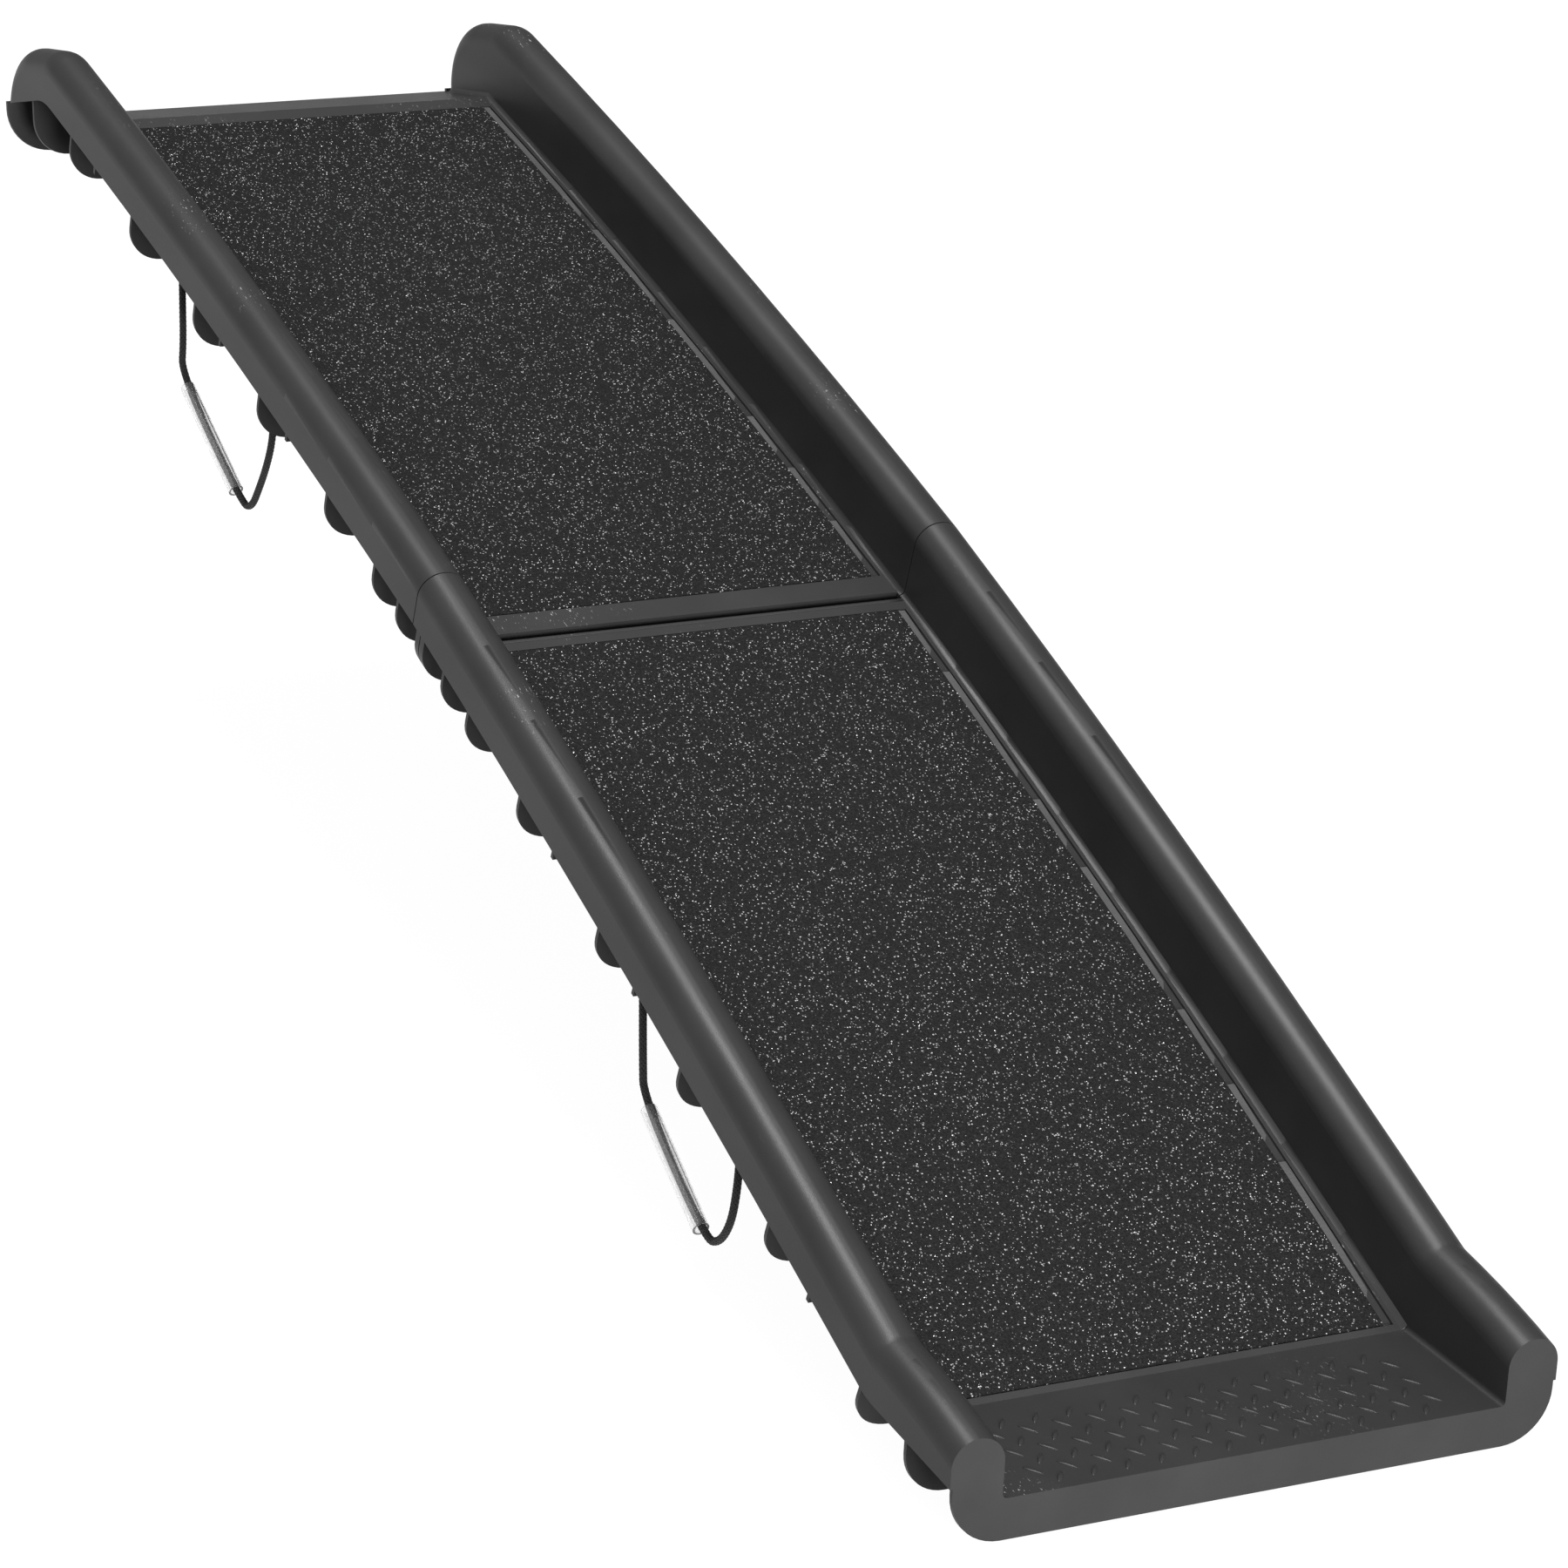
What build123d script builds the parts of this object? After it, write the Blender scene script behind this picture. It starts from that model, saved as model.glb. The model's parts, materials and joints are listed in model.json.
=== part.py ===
"""Folding dog ramp: two moulded halves on a hinge, grip mats, rest strips and cord handles.

Row frame: +X runs down the ramp to its lower end, +Y across it, +Z up. The ramp is unfolded,
with its lower lip level on the ground. The origin is the middle of the underside of the rest
strip below the upper lip. Each half is an arched strip: s is the distance from the seam along
its tread, h is the height over the tread.
"""

from build123d import *
from math import cos, pi, radians, sin, sqrt, tan
import os

os.makedirs("parts", exist_ok=True)

# ---------------------------------------------------------------- driving dimensions, mm and degrees
ARCH_RADIUS = 8900.0
SEAM_KINK = 1.5
LIP_TURN = 21.5
LOWER_RUN = 672.0
LOWER_LIP = 100.0
UPPER_RUN = 692.0
UPPER_LIP = 82.0

WALL = 3.0
TREAD_HALF = 152.5
RAIL_WIDTH = 31.0
RAIL_HEIGHT = 53.0
CROWN_RADIUS = 15.0
SKIRT_EDGE = 17.5
DECK_DEPTH = 4.5
LOWER_CROWN_MIDDLE = (55.0, 46.5)
LOWER_CROWN_END = 37.0
LOWER_KINK_RADIUS = 12.0
NOSE_RADIUS = 50.5
UPPER_KINK_RADIUS = 45.0
SKIRT_END = 10.0
SKIRT_BEND = 60.0
FOOT_FILLET = 3.0
FOOT_EDGE = 60.0

RIB_BOTTOM = -24.0
RIB_HALF = 177.0
RIB_CORNER = 24.0
RIB_TOP = 32.0
WING_TOP = 20.5
SEAM_WING_TOP = 15.0
RIB_STATIONS = (38.0, 78.0, 161.0, 283.0, 404.0, 529.0, 653.0)
LIP_RIB = 38.0
GUSSET_STATIONS = (222.0, 344.0, 591.0)
GUSSET_BOTTOM = 11.0
WEB_BOTTOM = -20.0
WEB_PLACES = (50.0, 146.5)
END_HALF = 182.0
END_TOP = 12.0
NOSE_PLATE_TOP = 2.0
NOSE_ROUND = 10.0
END_CORNER = 30.0

RAIL_GAP = 0.5
DECK_GAP = 3.5

MAT_HALF = 141.0
MAT_THICK = 2.2
POCKET_HALF = 147.0
POCKET_DEPTH = 1.8
MAT_MARGIN = 1.0
LOWER_MAT = (14.5, 667.0)
UPPER_MAT = (23.0, 677.0)

STRIP_HALF = 130.0
STRIP_START = 6.0
STRIP_LENGTH = 24.0
STRIP_THIN = 3.0
FOOT_PLATE = 33.0

HINGE_DROP = 26.0
ROD_RADIUS = 3.0
ROD_HALF = 124.0
ROD_CLEARANCE = 0.06
KNUCKLE_RADIUS = 8.0
KNUCKLE_CLEARANCE = 1.0
KNUCKLE_COUNT = 7
KNUCKLE_PITCH = 34.0
KNUCKLE_GAP = 1.0
CAP_RADIUS = 6.5
CAP_LENGTH = 6.0
CAP_PLACE = 119.5
CAP_CLEARANCE = 1.0
CAP_OVERLAP = 1.5
ARM_BOTTOM = -2.0
ARM_TOP = 9.0
ARM_TOP_AT_ROD = 7.5

CORD_RADIUS = 2.5
ANCHOR_Y = -162.0
ANCHOR_HEIGHT = 13.0
UPPER_ANCHORS = (295.5, 472.0)
LOWER_ANCHORS = (312.0, 454.5)
PIN_RADIUS = 3.0
PIN_HALF = 10.5
SUPPORT_REACH = 9.0
SUPPORT_BOTTOM = 7.0
SUPPORT_TOP = 24.0
HITCH_RADIUS = 6.5
HITCH_LENGTH = 9.0
HITCH_CLEARANCE = 0.06
CORD_START = 5.0
SLEEVE_OUTER = 5.0
SLEEVE_INNER = 3.6
SLEEVE_LENGTH = 92.0

# The free points of each loop, down the ramp: the upper loop from its far hitch to its near one,
# the lower loop from its near hitch to its far one. Each is a distance down the ramp from the
# seam, a distance across from the hitches and a height over the seam.
UPPER_LOOP = (
    (-448.9, -1.0, 94.6),
    (-443.0, -2.2, 66.0),
    (-442.2, -3.6, 45.6),
    (-345.2, 3.6, -16.3),
    (-326.5, 3.0, -13.5),
    (-311.1, 2.0, 4.3),
    (-296.2, 1.0, 23.8),
    (-285.5, 0.5, 44.5),
    (-282.9, 0.0, 66.0),
)
LOWER_LOOP = (
    (300.9, 1.2, -120.0),
    (301.8, 2.4, -153.9),
    (303.6, 2.9, -174.3),
    (403.9, -2.9, -219.1),
    (420.5, -2.5, -213.7),
    (432.0, -1.8, -197.3),
    (435.6, -1.0, -176.6),
    (436.0, -0.3, -155.0),
)
SLEEVE_RUN = 3


# ---------------------------------------------------------------- plane geometry in X and Z
def along(point, direction, amount):
    """The point that lies amount along direction from point."""
    return (point[0] + amount * direction[0], point[1] + amount * direction[1])


def meet(centre, radius, point, direction):
    """Where a line through point meets a circle, at the meeting nearest to point."""
    away = (point[0] - centre[0], point[1] - centre[1])
    half = away[0] * direction[0] + away[1] * direction[1]
    rest = away[0] ** 2 + away[1] ** 2 - radius**2
    root = sqrt(half**2 - rest)
    steps = sorted((-half - root, -half + root), key=abs)
    return along(point, direction, steps[0])


class Half:
    """One half of the ramp: an arc of the tread from the seam, then a straight lip."""

    def __init__(self, side, seam, slope, run, lip, lip_slope):
        self.side = side
        self.run = run
        self.lip = lip
        self.slope = slope
        self.seam = seam
        self.centre = (seam[0] - ARCH_RADIUS * sin(slope), seam[1] - ARCH_RADIUS * cos(slope))
        self.bend = self.at(run, 0.0)
        self.lip_along = (side * cos(lip_slope), -side * sin(lip_slope))
        self.lip_up = (sin(lip_slope), cos(lip_slope))
        middle = MEAN_SLOPE
        self.seam_along = (side * cos(middle), -side * sin(middle))
        self.seam_up = (sin(middle), cos(middle))

    def angle(self, s):
        return self.slope + self.side * s / ARCH_RADIUS

    def at(self, s, h):
        """The point at distance s along the arc and height h."""
        turn = self.angle(s)
        reach = ARCH_RADIUS + h
        return (self.centre[0] + reach * sin(turn), self.centre[1] + reach * cos(turn))

    def on_lip(self, t, h):
        """The point at distance t past the bend and height h over the lip."""
        return along(along(self.bend, self.lip_along, t), self.lip_up, h)

    def corner(self, h):
        """Where the arc at height h turns into the lip."""
        return meet(self.centre, ARCH_RADIUS + h, self.on_lip(0.0, h), self.lip_along)

    def start(self, h, gap):
        """Where the arc at height h begins, gap away from the seam plane."""
        foot = along(along(self.seam, self.seam_along, gap), self.seam_up, h)
        return meet(self.centre, ARCH_RADIUS + h, foot, self.seam_up)

    def station(self, s):
        """The plane square to the tread at s: its x is +Y and its y is the tread's up."""
        turn = self.angle(s)
        place = self.at(s, 0.0)
        return Plane(origin=(place[0], 0, place[1]), x_dir=(0, 1, 0), z_dir=(cos(turn), 0, -sin(turn)))

    def lip_station(self, t):
        """The plane square to the lip at t past the bend."""
        place = self.on_lip(t, 0.0)
        up = self.lip_up
        return Plane(origin=(place[0], 0, place[1]), x_dir=(0, 1, 0), z_dir=(up[1], 0, -up[0]))

    def seam_station(self, gap):
        """The plane parallel to the seam plane, gap inside this half."""
        place = along(self.seam, self.seam_along, gap)
        up = self.seam_up
        return Plane(origin=(place[0], 0, place[1]), x_dir=(0, 1, 0), z_dir=(up[1], 0, -up[0]))


LOWER_SLOPE = radians(LIP_TURN) - LOWER_RUN / ARCH_RADIUS
UPPER_SLOPE = LOWER_SLOPE - radians(SEAM_KINK)
MEAN_SLOPE = (LOWER_SLOPE + UPPER_SLOPE) / 2
UPPER_LIP_SLOPE = UPPER_SLOPE - UPPER_RUN / ARCH_RADIUS - radians(LIP_TURN)


def make_halves(seam):
    lower_half = Half(1, seam, LOWER_SLOPE, LOWER_RUN, LOWER_LIP, 0.0)
    upper_half = Half(-1, seam, UPPER_SLOPE, UPPER_RUN, UPPER_LIP, UPPER_LIP_SLOPE)
    return lower_half, upper_half


def strip_floor(half):
    """Where the level underside of a half's rest strip is centred."""
    near = half.on_lip(half.lip - STRIP_START - STRIP_LENGTH, RIB_BOTTOM)
    far = half.on_lip(half.lip - STRIP_START, RIB_BOTTOM)
    return ((near[0] + far[0]) / 2, min(near[1], far[1]) - STRIP_THIN)


UPPER_REST = strip_floor(make_halves((0.0, 0.0))[1])
LOWER, UPPER = make_halves((-UPPER_REST[0], -UPPER_REST[1]))
HINGE = along(LOWER.seam, LOWER.seam_up, -HINGE_DROP)


# ---------------------------------------------------------------- side outlines, in the XZ plane
def side_plane(y):
    """The plane at y whose sketch x and y are the row's X and Z; it extrudes towards -Y."""
    return Plane(origin=(0, y, 0), x_dir=(1, 0, 0), z_dir=(0, -1, 0))


def band(half, low, high, gap, lip_end, y):
    """The strip between two heights, from gap off the seam to lip_end along the lip."""
    middle = half.run / 2
    with BuildSketch(side_plane(y)) as face:
        with BuildLine():
            ThreePointArc(half.start(high, gap), half.at(middle, high), half.corner(high))
            Line(half.corner(high), half.on_lip(lip_end, high))
            Line(half.on_lip(lip_end, high), half.on_lip(lip_end, low))
            Line(half.on_lip(lip_end, low), half.corner(low))
            ThreePointArc(half.corner(low), half.at(middle, low), half.start(low, gap))
            Line(half.start(low, gap), half.start(high, gap))
        make_face()
    return face.sketch


def arc_band(half, low, high, first, last, y):
    """The strip between two heights along the arc alone, with ends square to it."""
    middle = (first + last) / 2
    with BuildSketch(side_plane(y)) as face:
        with BuildLine():
            ThreePointArc(half.at(first, high), half.at(middle, high), half.at(last, high))
            Line(half.at(last, high), half.at(last, low))
            ThreePointArc(half.at(last, low), half.at(middle, low), half.at(first, low))
            Line(half.at(first, low), half.at(first, high))
        make_face()
    return face.sketch


def ease(face, corner, radius):
    """Round the sketch corner at an XZ point."""
    fillet(face.vertices().sort_by_distance((corner[0], corner[1], 0))[0], radius)


def lower_crown(half, inset, gap, low, y):
    """Side outline of the lower half's rail: its top dips at the lip and falls to the end."""
    top = RAIL_HEIGHT - inset
    end = half.lip - inset
    kink = half.corner(top)
    rise = half.on_lip(LOWER_CROWN_MIDDLE[0], LOWER_CROWN_MIDDLE[1] - inset)
    tip = half.on_lip(end, LOWER_CROWN_END - inset)
    with BuildSketch(side_plane(y)) as face:
        with BuildLine():
            ThreePointArc(half.start(top, gap), half.at(half.run / 2, top), kink)
            ThreePointArc(kink, rise, tip)
            Line(tip, half.on_lip(end, low))
            Line(half.on_lip(end, low), half.corner(low))
            ThreePointArc(half.corner(low), half.at(half.run / 2, low), half.start(low, gap))
            Line(half.start(low, gap), half.start(top, gap))
        make_face()
        ease(face, kink, LOWER_KINK_RADIUS + inset)
    return face.sketch


def upper_crown(half, inset, gap, low, y):
    """Side outline of the upper half's rail: its top turns with the lip and ends in a nose."""
    top = RAIL_HEIGHT - inset
    nose = NOSE_RADIUS - inset
    hub = half.lip - NOSE_RADIUS
    kink = meet(half.centre, ARCH_RADIUS + top, half.on_lip(0.0, nose), half.lip_along)
    shoulder = half.on_lip(hub + nose * sin(pi / 4), nose * cos(pi / 4))
    tip = half.on_lip(hub + nose, 0.0)
    base = half.on_lip(hub + nose, low)
    with BuildSketch(side_plane(y)) as face:
        with BuildLine():
            ThreePointArc(half.start(top, gap), half.at(half.run / 2, top), kink)
            Line(kink, half.on_lip(hub, nose))
            ThreePointArc(half.on_lip(hub, nose), shoulder, tip)
            Line(tip, base)
            Line(base, half.corner(low))
            ThreePointArc(half.corner(low), half.at(half.run / 2, low), half.start(low, gap))
            Line(half.start(low, gap), half.start(top, gap))
        make_face()
        ease(face, kink, UPPER_KINK_RADIUS - inset)
    return face.sketch


def below_skirt(half, y):
    """Everything below the skirt's lower edge."""
    deep = RIB_BOTTOM - 40.0
    edge = half.corner(SKIRT_EDGE)
    past = half.lip + 5.0
    with BuildSketch(side_plane(y)) as face:
        with BuildLine():
            ThreePointArc(half.start(SKIRT_EDGE, -5.0), half.at(half.run / 2, SKIRT_EDGE), edge)
            Line(edge, half.on_lip(past, SKIRT_END))
            Line(half.on_lip(past, SKIRT_END), half.on_lip(past, deep))
            Line(half.on_lip(past, deep), half.corner(deep))
            ThreePointArc(half.corner(deep), half.at(half.run / 2, deep), half.start(deep, -5.0))
            Line(half.start(deep, -5.0), half.start(SKIRT_EDGE, -5.0))
        make_face()
        ease(face, edge, SKIRT_BEND)
    return face.sketch


# ---------------------------------------------------------------- moulded halves
def above(half, point):
    """How far a point lies over the tread's arc."""
    across = point.X - half.centre[0]
    up = point.Z - half.centre[1]
    return sqrt(across**2 + up**2) - ARCH_RADIUS


def past_bend(half, point):
    """How far a point lies beyond the bend, along the lip."""
    across = point.X - half.bend[0]
    up = point.Z - half.bend[1]
    return across * half.lip_along[0] + up * half.lip_along[1]


def height(half, point):
    """How far a point lies over the tread, on the arc or on the lip."""
    if past_bend(half, point) < 0.0:
        return above(half, point)
    across = point.X - half.bend[0]
    up = point.Z - half.bend[1]
    return across * half.lip_up[0] + up * half.lip_up[1]


def crown_edges(builder, half):
    """The rail block's upper edges that run along the ramp."""
    chosen = []
    for edge in builder.edges():
        lengthwise = abs((edge @ 0.0).Y - (edge @ 1.0).Y) < 0.01
        raised = height(half, edge @ 0.5) > 8.0
        at_end = abs(past_bend(half, edge @ 0.0) - past_bend(half, edge @ 1.0)) < 0.01
        at_seam = above(half, edge @ 0.0) * above(half, edge @ 1.0) < 0.0 and edge.length < 80.0
        if lengthwise and raised and not at_end and not at_seam:
            chosen.append(edge)
    return chosen


def rail(half, crown, side):
    """One rail: a rounded hollow upside-down U, open below, with a skirt on its outer side."""
    top_y = max(side * TREAD_HALF, side * (TREAD_HALF + RAIL_WIDTH))
    skirt_y = max(side * (TREAD_HALF + WALL), side * (TREAD_HALF + RAIL_WIDTH + 5.0))
    with BuildPart() as cavity:
        cut = crown(half, WALL, RAIL_GAP + WALL, -DECK_DEPTH - 2.0, top_y - WALL)
        extrude(cut, amount=RAIL_WIDTH - 2 * WALL)
        fillet(crown_edges(cavity, half), CROWN_RADIUS - WALL)
    with BuildPart() as solid:
        extrude(crown(half, 0.0, RAIL_GAP, -DECK_DEPTH, top_y), amount=RAIL_WIDTH)
        fillet(crown_edges(solid, half), CROWN_RADIUS)
        add(cavity.part, mode=Mode.SUBTRACT)
        extrude(below_skirt(half, skirt_y), amount=RAIL_WIDTH + 2.0, mode=Mode.SUBTRACT)
    return solid.part


def rib_face(plane, top):
    """A rib across the whole ramp: rounded lower corners, and wings that rise into the rails."""
    with BuildSketch(plane) as face:
        with Locations((0, (top + RIB_BOTTOM) / 2)):
            Rectangle(2 * RIB_HALF, top - RIB_BOTTOM)
        fillet(face.vertices().group_by(Axis.Y)[0], RIB_CORNER)
        with Locations((0, top)):
            Rectangle(2 * TREAD_HALF + 2, 2 * top + DECK_DEPTH, mode=Mode.SUBTRACT)
        wing = (top + WING_TOP) / 2
        with Locations((-RIB_HALF - 2, wing), (RIB_HALF + 2, wing)):
            Rectangle(6, top - WING_TOP)
    return face.sketch


def gusset_face(plane):
    """A small web inside each rail."""
    middle = TREAD_HALF + RAIL_WIDTH / 2
    with BuildSketch(plane) as face:
        with Locations((-middle, (RIB_TOP + GUSSET_BOTTOM) / 2), (middle, (RIB_TOP + GUSSET_BOTTOM) / 2)):
            Rectangle(RAIL_WIDTH - WALL, RIB_TOP - GUSSET_BOTTOM)
    return face.sketch


def end_face(half):
    """The lip's end plate, closed up to the rails' ends, and clear of the upper rails' rounded noses."""
    with BuildSketch(half.lip_station(half.lip)) as face:
        with Locations((0, (RIB_BOTTOM + END_TOP) / 2)):
            Rectangle(2 * END_HALF, END_TOP - RIB_BOTTOM)
        fillet(face.vertices().group_by(Axis.Y)[0], END_CORNER)
        with Locations((0, END_TOP)):
            Rectangle(2 * TREAD_HALF, 2 * END_TOP, mode=Mode.SUBTRACT)
        if half.side < 0:
            with Locations((0, NOSE_PLATE_TOP + END_TOP)):
                Rectangle(2 * (TREAD_HALF + NOSE_ROUND), 2 * END_TOP, mode=Mode.SUBTRACT)
    return face.sketch


def seam_wing_face(half):
    """The outer parts of the seam end, one under each rail."""
    with BuildSketch(half.seam_station(RAIL_GAP)) as face:
        with Locations((0, (RIB_BOTTOM + SEAM_WING_TOP) / 2)):
            Rectangle(2 * RIB_HALF, SEAM_WING_TOP - RIB_BOTTOM)
        fillet(face.vertices().group_by(Axis.Y)[0], RIB_CORNER)
        with Locations((0, 0)):
            Rectangle(2 * TREAD_HALF - 6, 80.0, mode=Mode.SUBTRACT)
        with Locations((0, 40)):
            Rectangle(2 * TREAD_HALF + 2, 80.0, mode=Mode.SUBTRACT)
    return face.sketch


def seam_wall_face(half):
    """The middle of the seam end, set back from the seam."""
    with BuildSketch(half.seam_station(DECK_GAP)) as face:
        with Locations((0, (RIB_BOTTOM - 1.0) / 2)):
            Rectangle(2 * TREAD_HALF - 4, -1.0 - RIB_BOTTOM)
    return face.sketch


def foot_face(half, y):
    """The floor under a lip's end, which carries the rest strip."""
    near = half.lip - FOOT_PLATE
    with BuildSketch(side_plane(y)) as face:
        with BuildLine():
            Polyline(
                half.on_lip(near, RIB_BOTTOM),
                half.on_lip(half.lip, RIB_BOTTOM),
                half.on_lip(half.lip, RIB_BOTTOM + WALL),
                half.on_lip(near, RIB_BOTTOM + WALL),
                close=True,
            )
        make_face()
    return face.sketch


def knuckle_places(parity):
    """Middles of the hinge knuckles across the ramp, for the upper (0) or the lower (1) half."""
    places = []
    for number in range(parity, KNUCKLE_COUNT, 2):
        places.append((number - (KNUCKLE_COUNT - 1) / 2) * KNUCKLE_PITCH)
    return places


def hinge_plane(y):
    """A plane at y on the hinge line, extruding towards -Y."""
    return Plane(origin=(HINGE[0], y, HINGE[1]), x_dir=(1, 0, 0), z_dir=(0, -1, 0))


def disc(y, radius):
    with BuildSketch(hinge_plane(y)) as face:
        Circle(radius)
    return face.sketch


def arm_face(half, y):
    """The arm between a knuckle and its half's seam wall, on its own side of the hinge line."""
    corners = []
    back = DECK_GAP + WALL
    outline = ((0.0, ARM_BOTTOM), (back, ARM_BOTTOM), (back, ARM_TOP), (0.0, ARM_TOP_AT_ROD))
    for reach, rise in outline:
        foot = along(HINGE, half.seam_along, reach)
        corners.append(along(foot, half.seam_up, rise))
    with BuildSketch(side_plane(y)) as face:
        with BuildLine():
            Polyline(*corners, close=True)
        make_face()
    return face.sketch


def anchors(half, stations):
    """The two hitch middles of a half's loop, near the seam first."""
    places = []
    for s in stations:
        point = half.at(s, ANCHOR_HEIGHT)
        places.append(Vector(point[0], ANCHOR_Y, point[1]))
    return places


def support_face(half, s):
    """A small plate in the left rail that holds one end of a loop's crossbar."""
    width = -ANCHOR_Y - TREAD_HALF + SUPPORT_REACH - 1.0
    with BuildSketch(half.station(s)) as face:
        with Locations((-TREAD_HALF - 1.0 - width / 2, (SUPPORT_BOTTOM + SUPPORT_TOP) / 2)):
            Rectangle(width, SUPPORT_TOP - SUPPORT_BOTTOM)
    return face.sketch


def foot_edges(builder, half):
    """The edges where the rails' walls meet the deck, along the arc and along the lip."""
    chosen = []
    for edge in builder.edges():
        lengthwise = abs((edge @ 0.0).Y - (edge @ 1.0).Y) < 0.01
        at_wall = abs(abs((edge @ 0.5).Y) - TREAD_HALF) < 0.01
        on_arc = edge.geom_type == GeomType.CIRCLE and abs(above(half, edge @ 0.5)) < 0.5
        on_lip = edge.geom_type == GeomType.LINE
        if lengthwise and at_wall and edge.length > FOOT_EDGE and (on_arc or on_lip):
            chosen.append(edge)
    return chosen


def panel(half, crown, mat_ends, parity, bore, stations):
    """One half: deck, two rails, ribs and webs below, end plates, knuckles and crossbars."""
    inward = half.side
    near, far = anchors(half, stations)
    bar = (near - far).normalized()
    with BuildPart() as solid:
        deck = band(half, -DECK_DEPTH, 0.0, DECK_GAP, half.lip, TREAD_HALF + 1)
        extrude(deck, amount=2 * TREAD_HALF + 2)
        for s in RIB_STATIONS:
            extrude(rib_face(half.station(s), RIB_TOP), amount=WALL / 2, both=True)
        extrude(rib_face(half.lip_station(LIP_RIB), RIB_TOP), amount=WALL / 2, both=True)
        for s in GUSSET_STATIONS:
            extrude(gusset_face(half.station(s)), amount=WALL / 2, both=True)
        for place in WEB_PLACES:
            for middle in (-place, place):
                web = band(half, WEB_BOTTOM, -1.0, DECK_GAP, half.lip - 1.0, middle + WALL / 2)
                extrude(web, amount=WALL)
        extrude(end_face(half), amount=-inward * WALL)
        extrude(seam_wing_face(half), amount=inward * (DECK_GAP + WALL - RAIL_GAP))
        extrude(seam_wall_face(half), amount=inward * WALL)
        extrude(foot_face(half, TREAD_HALF), amount=2 * TREAD_HALF)
        for side in (-1, 1):
            add(rail(half, crown, side))
        pocket = arc_band(half, -POCKET_DEPTH, 2.0, mat_ends[0], mat_ends[1], POCKET_HALF)
        extrude(pocket, amount=2 * POCKET_HALF, mode=Mode.SUBTRACT)
        for middle in knuckle_places(1 - parity):
            reach = KNUCKLE_PITCH / 2 + KNUCKLE_GAP / 2
            round_knuckle = disc(middle + reach, KNUCKLE_RADIUS + KNUCKLE_CLEARANCE)
            extrude(round_knuckle, amount=2 * reach, mode=Mode.SUBTRACT)
        for start in (CAP_PLACE + CAP_LENGTH + CAP_CLEARANCE, -CAP_PLACE + CAP_OVERLAP):
            clear = CAP_LENGTH + CAP_CLEARANCE + CAP_OVERLAP
            extrude(disc(start, CAP_RADIUS + CAP_CLEARANCE), amount=clear, mode=Mode.SUBTRACT)
        for middle in knuckle_places(parity):
            reach = (KNUCKLE_PITCH - KNUCKLE_GAP) / 2
            extrude(disc(middle + reach, KNUCKLE_RADIUS), amount=2 * reach)
            extrude(arm_face(half, middle + reach), amount=2 * reach)
            extrude(disc(middle + reach + 2, bore), amount=2 * reach + 4, mode=Mode.SUBTRACT)
        for s in stations:
            for place in (s - PIN_HALF, s + PIN_HALF):
                if min(abs(place - rib) for rib in RIB_STATIONS) > 3.0:
                    extrude(support_face(half, place), amount=WALL / 2, both=True)
        for anchor in (near, far):
            with BuildSketch(Plane(origin=anchor, z_dir=bar)):
                Circle(PIN_RADIUS)
            extrude(amount=PIN_HALF, both=True)
        fillet(foot_edges(solid, half), FOOT_FILLET)
    return solid


# ---------------------------------------------------------------- mats and rest strips
def grip_mat(half, mat_ends):
    first = mat_ends[0] + MAT_MARGIN
    last = mat_ends[1] - MAT_MARGIN
    with BuildPart() as solid:
        sheet = arc_band(half, -POCKET_DEPTH, MAT_THICK - POCKET_DEPTH, first, last, MAT_HALF)
        extrude(sheet, amount=2 * MAT_HALF)
    return solid


def rest_strip(half):
    """The rubber strip under a lip's end, with a level underside."""
    near = half.on_lip(half.lip - STRIP_START - STRIP_LENGTH, RIB_BOTTOM)
    far = half.on_lip(half.lip - STRIP_START, RIB_BOTTOM)
    floor = min(near[1], far[1]) - STRIP_THIN
    with BuildPart() as solid:
        with BuildSketch(side_plane(STRIP_HALF)):
            with BuildLine():
                Polyline(near, far, (far[0], floor), (near[0], floor), close=True)
            make_face()
        extrude(amount=2 * STRIP_HALF)
    return solid


# ---------------------------------------------------------------- hinge rod and caps
def hinge_rod():
    with BuildPart() as solid:
        extrude(disc(ROD_HALF, ROD_RADIUS), amount=2 * ROD_HALF)
    return solid


def hinge_cap(side):
    """A push-on cap over one end of the rod."""
    outer = max(side * CAP_PLACE, side * (CAP_PLACE + CAP_LENGTH))
    bore = max(side * CAP_PLACE, side * ROD_HALF)
    with BuildPart() as solid:
        extrude(disc(outer, CAP_RADIUS), amount=CAP_LENGTH)
        extrude(disc(bore, ROD_RADIUS), amount=ROD_HALF - CAP_PLACE, mode=Mode.SUBTRACT)
    return solid


# ---------------------------------------------------------------- cord loops
def loop_points(first, last, free):
    """The loop's route from one hitch to the other."""
    middle = []
    for x, across, z in free:
        middle.append(Vector(LOWER.seam[0] + x, ANCHOR_Y + across, LOWER.seam[1] + z))
    start = first + (middle[0] - first).normalized() * CORD_START
    end = last + (middle[-1] - last).normalized() * CORD_START
    return [start] + middle + [end]


def loop_radii(points):
    radii = []
    for number in range(1, len(points) - 1):
        before = points[number] - points[number - 1]
        after = points[number + 1] - points[number]
        turn = radians(before.get_angle(after))
        radii.append(0.45 * min(before.length, after.length) / tan(turn / 2))
    return radii


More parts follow.
